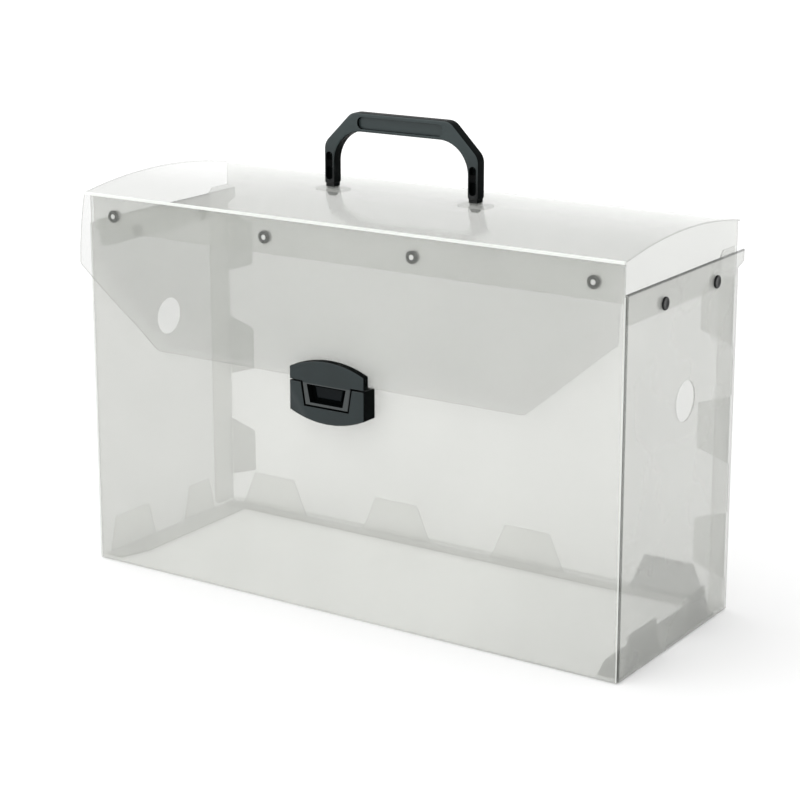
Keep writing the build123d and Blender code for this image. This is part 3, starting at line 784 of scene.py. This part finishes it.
def mark_corner_bends(mesh, low, high, reach):
    """On the front corners' bends, paint a highlight on the part next to the front and shade on the
    rest.

    How far a face has turned to the side is the x of its normal: 0 is the front, 1 the end.
    """
    still_front, half_turned, level = 0.05, 0.45, 0.2
    centres, normals = face_frames(mesh)
    outer = (np.abs(centres[:, 0]) > high[0] - reach) & (centres[:, 1] < low[1] + reach)
    bend = outer & (np.abs(normals[:, 2]) < level)
    turn = np.abs(normals[:, 0])
    give_material(mesh, bend & (turn > still_front) & (turn < half_turned), CREASE_HIGHLIGHT)
    give_material(mesh, bend & (turn >= half_turned), FOLD_SHADE)


def film_faces(mesh):
    """Which faces are plain film and no cut edge, as a row of true and false."""
    slots = np.empty(len(mesh.polygons), np.int32)
    mesh.polygons.foreach_get("material_index", slots)
    return slots == FILM


def mark_end_flange_shade(mesh, reach):
    """Give the right end panel's bottom flange the laps' painted shade."""
    centres, normals = face_frames(mesh)
    flange = (np.abs(normals[:, 2]) > FACING) & (centres[:, 2] < 2 * reach)
    give_material(mesh, flange & film_faces(mesh), LAP_SHADE)


def mark_right_tab_shade(mesh, high, reach):
    """Paint shade on the floor's tabs at the right end, which stand inside the walls.

    Those inside the end wall get the laps' painted shade, and the nearest one inside the back wall
    the rear lap's, which is lighter.
    """
    centres, normals = face_frames(mesh)
    film = film_faces(mesh)
    upright = centres[:, 2] > reach
    at_end = centres[:, 0] > high[0] - END_TAB_REACH
    near_end = centres[:, 0] > high[0] - REAR_TAB_REACH
    end_tabs = upright & at_end & (np.abs(normals[:, 0]) > FACING)
    rear_tab = upright & near_end & (np.abs(normals[:, 1]) > FACING)
    give_material(mesh, end_tabs & film, LAP_SHADE)
    give_material(mesh, rear_tab & film, REAR_LAP_SHADE)


def mark_hem_shade(mesh, high, reach):
    """On an end panel, paint shade on the top of the folded hem and of the ear."""
    rim = high[2] - HEM_SHARE * reach
    cut_strip(mesh, (0, 0, rim), (0, 0, 1))
    centres, _ = face_frames(mesh)
    give_material(mesh, centres[:, 2] > rim, FOLD_SHADE)


def mark_foot_shade(mesh):
    """On the back panel, give the bottom bend the cut edges' painted shade."""
    cut_strip(mesh, (0, 0, FOOT_HEIGHT), (0, 0, 1))
    centres, _ = face_frames(mesh)
    give_material(mesh, centres[:, 2] < FOOT_HEIGHT, EDGE_SHADE)


def mark_shaded_sides(mesh, low, high):
    """Give sides and deep hollows, all that doesn't face the front or the back, the smooth
    plastic's painted shade.
    """
    least_turned = 0.55
    centres, normals = face_frames(mesh)
    facing = np.abs(normals[:, 1]) > least_turned
    middle = (low[1] + high[1]) / 2
    half = (high[1] - low[1]) / 2
    deep = half - np.abs(centres[:, 1] - middle) > HOLLOW_DEPTH
    give_material(mesh, ~facing | deep, SMOOTH_SHADE)


def mark_tongue_highlight(mesh, split):
    """Paint a highlight on the front of the tongue, the frame that hangs below the split."""
    to_front = -0.3
    cut_strip(mesh, (0, 0, split), (0, 0, 1))
    centres, normals = face_frames(mesh)
    give_material(mesh, (centres[:, 2] < split) & (normals[:, 1] < to_front), FRAME_HIGHLIGHT)


def lathe_mesh(name, profile, centre, axis, steps):
    """A profile of (radius, height) points, turned about the axis through centre.

    The point at angle a is centre + radius (cos a across + sin a along) + height axis.
    """
    axis = Vector(axis).normalized()
    across = axis.orthogonal().normalized()
    along = axis.cross(across)
    profile = np.array(profile, float)
    angles = np.linspace(0, 2 * math.pi, steps, endpoint=False)
    ring = np.cos(angles)[:, None] * np.array(across) + np.sin(angles)[:, None] * np.array(along)
    points = (
        np.array(centre)
        + profile[:, None, 0:1] * ring[None]
        + profile[:, None, 1:2] * np.array(axis)[None, None]
    ).reshape(-1, 3)
    row, column = np.meshgrid(np.arange(len(profile) - 1), np.arange(steps), indexing="ij")
    after = (column + 1) % steps
    near, far = row * steps, (row + 1) * steps
    corners = [near + column, near + after, far + after, far + column]
    faces = np.stack(corners, axis=-1).reshape(-1, 4)
    mesh = bpy.data.meshes.new(name)
    mesh.from_pydata(points.tolist(), [], faces.tolist())
    shape = bmesh.new()
    shape.from_mesh(mesh)
    bmesh.ops.remove_doubles(shape, verts=shape.verts, dist=0.001 * MM)
    bmesh.ops.recalc_face_normals(shape, faces=shape.faces)
    shape.to_mesh(mesh)
    shape.free()
    return mesh


def stud_profile(radius, depth):
    """Points (radius, height) of a stud round its pin: 0 is its head's top, the shank goes down.

    The head's rim is a quarter circle: radius - r + r sin t, r (cos t - 1).
    """
    head, round_off = 1.1 * MM, 0.5 * MM                    # its height and its rim's rounding
    pin_face, pin, dish = 1.1 * MM, 1.55 * MM, 2.2 * MM     # radii in the head's top
    pin_drop, pin_edge_drop = 0.25 * MM, 0.2 * MM           # how far the pin lies below it
    shank, barb, tip = 2.0 * MM, 2.4 * MM, 2.2 * MM         # radii below the head
    barb_start, barb_end = 0.5 * MM, 0.4 * MM               # how far above the tip
    turn = np.linspace(0, math.pi / 2, 7)
    rim = radius - round_off + round_off * np.sin(turn)
    rim_height = round_off * (np.cos(turn) - 1)
    hollow = [(0, -pin_drop), (pin_face, -pin_drop), (pin, -pin_edge_drop), (dish, 0)]
    tube = [
        (radius, -head),
        (shank, -head),
        (shank, -depth + barb_start),
        (barb, -depth + barb_end),
        (tip, -depth),
        (0, -depth),
    ]
    return [*hollow, *zip(rim, rim_height), *tube]


def cap_profile(radius, depth):
    """Points (radius, height) of a cap ring, closed on itself: 0 is its face against the hem."""
    bore = 2.05 * MM
    corner = 0.25 * MM
    return [
        (bore, 0),
        (radius, 0),
        (radius, -depth + corner),
        (radius - corner, -depth),
        (bore + corner, -depth),
        (bore, -depth + corner),
        (bore, 0),
    ]


def joined(name, meshes):
    """One piece from several meshes."""
    shape = bmesh.new()
    for mesh in meshes:
        shape.from_mesh(mesh)
        bpy.data.meshes.remove(mesh)
    mesh = bpy.data.meshes.new(name)
    shape.to_mesh(mesh)
    shape.free()
    piece = bpy.data.objects.new(name, mesh)
    bpy.context.collection.objects.link(piece)
    return piece


def solid_groups(node):
    """(lowest, highest) corner of each separate solid of a CAD node, in order of the lowest.

    Vertices come out of a set in no fixed order, so the sorting keeps each run the same.
    """
    shape = bmesh.new()
    shape.from_mesh(frame["nodes"][node].data)
    bmesh.ops.remove_doubles(shape, verts=shape.verts, dist=MERGE_REACH)
    left = set(shape.verts)
    boxes = []
    while left:
        stack = [left.pop()]
        found = []
        while stack:
            vertex = stack.pop()
            found.append(vertex.co[:])
            for edge in vertex.link_edges:
                other = edge.other_vert(vertex)
                if other in left:
                    left.remove(other)
                    stack.append(other)
        points = np.array(found)
        boxes.append((points.min(0), points.max(0)))
    shape.free()
    return sorted(boxes, key=lambda box: tuple(box[0]))


# ---- operators ------------------------------------------------------------------------------
class FILEBOX_OT_sheets(bpy.types.Operator):
    """Dress the folded sheets in clear film, with painted shade on their cut edges, bends and laps
    and painted highlights along the creases
    """

    bl_idname = "filebox.sheets"
    bl_label = "Folded sheets"

    def execute(self, context):
        settings = context.scene.filebox_sheet
        films = {}
        # besides the walls, each panel's colour holds painted shade or light: darker ends, lid
        # front, flap and laps, and a paler floor
        for look in ("wall", "left", "right", "lid", "flap", "base", "lap"):
            colour = getattr(settings, f"{look}_colour")
            cover = getattr(settings, f"{look}_cover")
            ior = LID_IOR if look == "lid" else FILM_IOR
            films[look] = film_material(f"{look}_sheet", colour, cover, settings.grain, ior)
        # paint shade and light along the lid, from its front crease to the rear
        front, rear = (corner[1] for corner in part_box("lid_panel"))
        places = share_of_way(front, rear, LID_SHADE_BLEND)
        blend_along(films["lid"], "Y", *places, settings.lid_rear_light_colour)
        # paint shade on the floor towards its right end
        left_end, right_end = (corner[0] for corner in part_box("floor_panel"))
        places = share_of_way(0.5 * (left_end + right_end), right_end, BASE_SHADE_BLEND)
        blend_along(films["base"], "X", *places, settings.base_right_shade_colour)
        rear_lap = film_material(
            "rear_lap_sheet", settings.lap_colour, settings.rear_lap_cover, settings.grain
        )
        edge = film_material(
            "sheet_cut_edge", settings.edge_shade_colour, settings.edge_shade_cover, settings.grain
        )
        crease = film_material(
            "whitened_crease", settings.crease_highlight_colour, settings.crease_highlight_cover, settings.grain
        )
        fold = film_material(
            "tight_bend", settings.fold_shade_colour, settings.fold_shade_cover, settings.grain
        )
        for node, (body, look) in SHEET_NODES.items():
            piece = copied_mesh(node, f"sheet_{node}")
            for material in (films[look], edge, crease, fold, films["lap"], rear_lap):
                piece.data.materials.append(material)
            low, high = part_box(node)
            mark_cut_edges(piece.data, settings.edge_depth)
            if node in ("lid_panel", "flap_panel"):
                mark_crease_highlight(piece.data, settings.crease_highlight_reach)
            if node == "front_panel":
                mark_corner_bends(piece.data, low, high, settings.bend_reach)
            if node.endswith("end_panel"):
                mark_hem_shade(piece.data, high, settings.bend_reach)
            if node == "back_panel":
                mark_foot_shade(piece.data)
            if node == "floor_panel":
                mark_right_tab_shade(piece.data, high, settings.bend_reach)
            if node == "right_end_panel":
                mark_end_flange_shade(piece.data, settings.bend_reach)
            smooth_by_angle(piece.data, SHEET_ANGLE)
            flat = piece.modifiers.new("Flat faces", "WEIGHTED_NORMAL")
            flat.keep_sharp = True
            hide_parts(node)
            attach(piece, body)
        return {"FINISHED"}


class FILEBOX_OT_moulded(bpy.types.Operator):
    """Dress the latch and the handle in textured moulded plastic with softened edges, painted shade
    on their sides and hollows and a painted highlight on the latch's frame
    """

    bl_idname = "filebox.moulded"
    bl_label = "Latch and handle"

    def execute(self, context):
        settings = context.scene.filebox_fittings
        plastic = moulded_material("moulded_plastic", settings.moulded_colour)
        smooth = side_shade_material("smooth_plastic", settings.side_shade_colour)
        button = moulded_material("button_plastic", settings.button_colour, ior=1.2)
        # the handle shades from near black at its feet to its bar's colour: painted shade
        handle = moulded_material("handle_plastic", settings.side_shade_colour)
        foot, top = (corner[2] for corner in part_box("handle"))
        places = share_of_way(foot, top, HANDLE_SHADE_BLEND)
        blend_along(handle, "Z", *places, settings.handle_bar_colour)
        # a painted highlight on the frame below the latch's split
        polished = moulded_material("polished_frame", settings.frame_highlight_colour, ior=1.5)
        for node, body in MOULDED_NODES.items():
            piece = copied_mesh(node, f"moulded_{node}")
            own = {"latch_button": button, "handle": handle}.get(node, plastic)
            for material in (own, smooth, polished):
                piece.data.materials.append(material)
            shape = bmesh.new()
            shape.from_mesh(piece.data)
            bmesh.ops.dissolve_limit(
                shape,
                angle_limit=math.radians(FLAT_ANGLE),
                verts=shape.verts,
                edges=shape.edges,
            )
            shape.to_mesh(piece.data)
            shape.free()
            smooth_by_angle(piece.data, SHEET_ANGLE)
            mark_shaded_sides(piece.data, *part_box(node))
            if node == "latch_hasp":
                mark_tongue_highlight(piece.data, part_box("latch_base")[1][2])
            bevel = piece.modifiers.new("Bevel", "BEVEL")
            bevel.width = settings.edge_round
            bevel.segments = 2
            bevel.limit_method = "ANGLE"
            bevel.angle_limit = math.radians(BEVEL_ANGLE)
            bevel.harden_normals = True
            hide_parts(node)
            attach(piece, body)
        grain = 0.4 * MM
        milky = film_material("milky_plastic", settings.plate_colour, settings.plate_cover, grain)
        for node in PLATE_NODES:
            dress(node, milky)
        return {"FINISHED"}


class FILEBOX_OT_rivets(bpy.types.Operator):
    """Turn the snap rivets and their caps on the lathe, with a dished head"""

    bl_idname = "filebox.rivets"
    bl_label = "Snap rivets"

    def execute(self, context):
        settings = context.scene.filebox_fittings
        black = gloss_material("rivet_plastic", settings.rivet_colour)
        pin_highlight = gloss_material("pin_plastic", settings.pin_highlight_colour)
        for row, (outward, body) in RIVET_ROWS.items():
            normal = np.array(outward, float)
            along = int(np.argmax(np.abs(normal)))
            for node, dish in ((f"{row}_hem_rivets", True), (f"{row}_hem_rivet_caps", False)):
                meshes = []
                for low, high in solid_groups(node):
                    centre = (low + high) / 2
                    centre[along] = low[along] if normal[along] < 0 else high[along]
                    half = (high - low) / 2
                    radius = float(max(half[(along + 1) % 3], half[(along + 2) % 3]))
                    depth = float(high[along] - low[along])
                    profile = stud_profile(radius, depth) if dish else cap_profile(radius, depth)
                    meshes.append(
                        lathe_mesh("turned", profile, centre, outward, settings.lathe_steps)
                    )
                piece = joined(f"turned_{node}", meshes)
                piece.data.materials.append(black)
                # the pins of the front rivets get a painted highlight
                if dish and row == "front":
                    piece.data.materials.append(pin_highlight)
                    count = len(piece.data.polygons)
                    steps = settings.lathe_steps
                    pin = np.arange(count) % (count // len(meshes)) < PIN_RINGS * steps
                    give_material(piece.data, pin, PIN_HIGHLIGHT)
                smooth_by_angle(piece.data, ROUND_ANGLE)
                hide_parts(node)
                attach(piece, body)
        return {"FINISHED"}


class FILEBOX_OT_steel(bpy.types.Operator):
    """Plate the screws and the latch spring"""

    bl_idname = "filebox.steel"
    bl_label = "Screws and spring"

    def execute(self, context):
        settings = context.scene.filebox_fittings
        steel = steel_material("plated_steel", settings.steel_colour)
        for node in SCREW_NODES:
            dress(node, steel)
        spring = copied_mesh("latch_spring", "coil_spring")
        spring.data.materials.append(steel)
        smooth_by_angle(spring.data, ROUND_ANGLE)
        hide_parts("latch_spring")
        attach(spring, "root")
        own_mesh(spring)
        return {"FINISHED"}


class FILEBOX_OT_stage(bpy.types.Operator):
    """Set up the camera, the soft light, the white backdrop and the floor"""

    bl_idname = "filebox.stage"
    bl_label = "Studio"

    def execute(self, context):
        settings = context.scene.filebox_stage
        scene = context.scene
        scene.view_settings.view_transform = "Standard"
        scene.cycles.transparent_max_bounces = SHEER_BOUNCES
        camera = bpy.data.cameras.new("studio_camera")
        camera.sensor_width = 36
        camera.lens = settings.lens
        camera.shift_y = settings.shift
        view = bpy.data.objects.new("studio_camera", camera)
        view.location = settings.camera_place
        view.rotation_euler = Vector(settings.camera_aim).to_track_quat("-Z", "Y").to_euler()
        scene.collection.objects.link(view)
        scene.camera = view
        self.light_world(scene, settings.world_light, settings.right_share)
        self.add_lamp(scene, "key_lamp", *KEY_LAMP, settings.key_power)
        self.add_lamp(scene, "top_lamp", *TOP_LAMP, settings.top_power)
        self.lay_floor(scene, settings)
        return {"FINISHED"}

    def light_world(self, scene, strength, right_share):
        """White where it is seen; an even light elsewhere, which fades towards the right."""
        world = bpy.data.worlds.new("studio_world")
        world.use_nodes = True
        scene.world = world
        tree = world.node_tree
        place = tree.nodes.new("ShaderNodeTexCoord")
        split = tree.nodes.new("ShaderNodeSeparateXYZ")
        tree.links.new(place.outputs["Generated"], split.inputs[0])
        fade = ranged(tree, split.outputs["X"], SKY_FADE, (1.0, right_share), "SMOOTHSTEP")
        faded = worked_out(tree, "MULTIPLY", fade, strength)
        seen = seen_directly(tree)
        sky = tree.nodes["Background"]
        sky.inputs["Color"].default_value = (1, 1, 1, 1)
        tree.links.new(worked_out(tree, "MAXIMUM", faded, seen), sky.inputs["Strength"])

    def add_lamp(self, scene, name, place, size, power):
        """A square lamp that faces the middle of the box."""
        lamp = bpy.data.lights.new(name, "AREA")
        lamp.size = size
        lamp.energy = power
        piece = bpy.data.objects.new(name, lamp)
        piece.location = place
        aim = Vector(LAMP_AIM) - Vector(place)
        piece.rotation_euler = aim.to_track_quat("-Z", "Y").to_euler()
        scene.collection.objects.link(piece)

    def lay_floor(self, scene, settings):
        """A wide round floor, which keeps the shadow and otherwise meets the white backdrop."""
        mesh = bpy.data.meshes.new("studio_floor")
        angles = np.linspace(0, 2 * math.pi, FLOOR_STEPS, endpoint=False)
        sides = FLOOR_RADIUS * np.cos(angles), FLOOR_RADIUS * np.sin(angles)
        rim = np.stack([*sides, np.full(FLOOR_STEPS, -FLOOR_DROP)], axis=1)
        mesh.from_pydata(rim.tolist(), [], [list(range(FLOOR_STEPS))])
        floor = bpy.data.objects.new("studio_floor", mesh)
        scene.collection.objects.link(floor)
        material = bpy.data.materials.new("studio_floor")
        material.use_nodes = True
        tree = material.node_tree
        shader = tree.nodes["Principled BSDF"]
        shader.inputs["Base Color"].default_value = (*settings.floor_colour, 1)
        shader.inputs["Roughness"].default_value = 0.6
        shader.inputs["Specular IOR Level"].default_value = 0.0
        shader.inputs["Emission Color"].default_value = (1, 1, 1, 1)
        place = tree.nodes.new("ShaderNodeTexCoord")
        length = tree.nodes.new("ShaderNodeVectorMath")
        length.operation = "LENGTH"
        tree.links.new(place.outputs["Object"], length.inputs[0])
        target = (settings.near_glow, settings.far_glow)
        rise = ranged(tree, length.outputs["Value"], GLOW_RISE, target)
        glow = worked_out(tree, "MAXIMUM", rise, self.glow_under(tree, place, settings))
        glow = worked_out(tree, "MULTIPLY", glow, seen_directly(tree))
        tree.links.new(glow, shader.inputs["Emission Strength"])
        mesh.materials.append(material)

    def glow_under(self, tree, place, settings):
        """A painted glow that fills the base of the box and fades over its last few millimetres, so
        that no shadow shows under it.
        """
        low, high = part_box("floor_panel")
        split = tree.nodes.new("ShaderNodeSeparateXYZ")
        tree.links.new(place.outputs["Object"], split.inputs[0])
        beyond = []
        for axis, half in (("X", high[0]), ("Y", (high[1] - low[1]) / 2)):
            away = worked_out(tree, "ABSOLUTE", split.outputs[axis], 0.0)
            beyond.append(worked_out(tree, "SUBTRACT", away, float(half)))
        edge = worked_out(tree, "MAXIMUM", *beyond)
        return ranged(tree, edge, UNDER_FADE, (settings.under_glow, 0.0))


class FILEBOX_PT_panel(bpy.types.Panel):
    """The file box's sizes, colours and steps"""

    bl_label = "File Box"
    bl_idname = "FILEBOX_PT_panel"
    bl_space_type = "VIEW_3D"
    bl_region_type = "UI"
    bl_category = "File Box"

    def draw(self, context):
        for group in (
            context.scene.filebox_sheet,
            context.scene.filebox_fittings,
            context.scene.filebox_stage,
        ):
            box = self.layout.box()
            for name in group.bl_rna.properties.keys():
                if name not in ("rna_type", "name"):
                    box.prop(group, name)
        for operator in OPERATORS:
            self.layout.operator(operator.bl_idname)


OPERATORS = (
    FILEBOX_OT_sheets,
    FILEBOX_OT_moulded,
    FILEBOX_OT_rivets,
    FILEBOX_OT_steel,
    FILEBOX_OT_stage,
)
GROUPS = {
    "filebox_sheet": FileBoxSheet,
    "filebox_fittings": FileBoxFittings,
    "filebox_stage": FileBoxStage,
}


def register():
    for name, group in GROUPS.items():
        bpy.utils.register_class(group)
        setattr(bpy.types.Scene, name, PointerProperty(type=group))
    for operator in OPERATORS:
        bpy.utils.register_class(operator)
    bpy.utils.register_class(FILEBOX_PT_panel)


def unregister():
    bpy.utils.unregister_class(FILEBOX_PT_panel)
    for operator in reversed(OPERATORS):
        bpy.utils.unregister_class(operator)
    for name, group in reversed(GROUPS.items()):
        delattr(bpy.types.Scene, name)
        bpy.utils.unregister_class(group)


def main():
    register()
    bpy.ops.filebox.sheets()
    bpy.ops.filebox.moulded()
    bpy.ops.filebox.rivets()
    bpy.ops.filebox.steel()
    bpy.ops.filebox.stage()


if __name__ == "__main__":
    main()
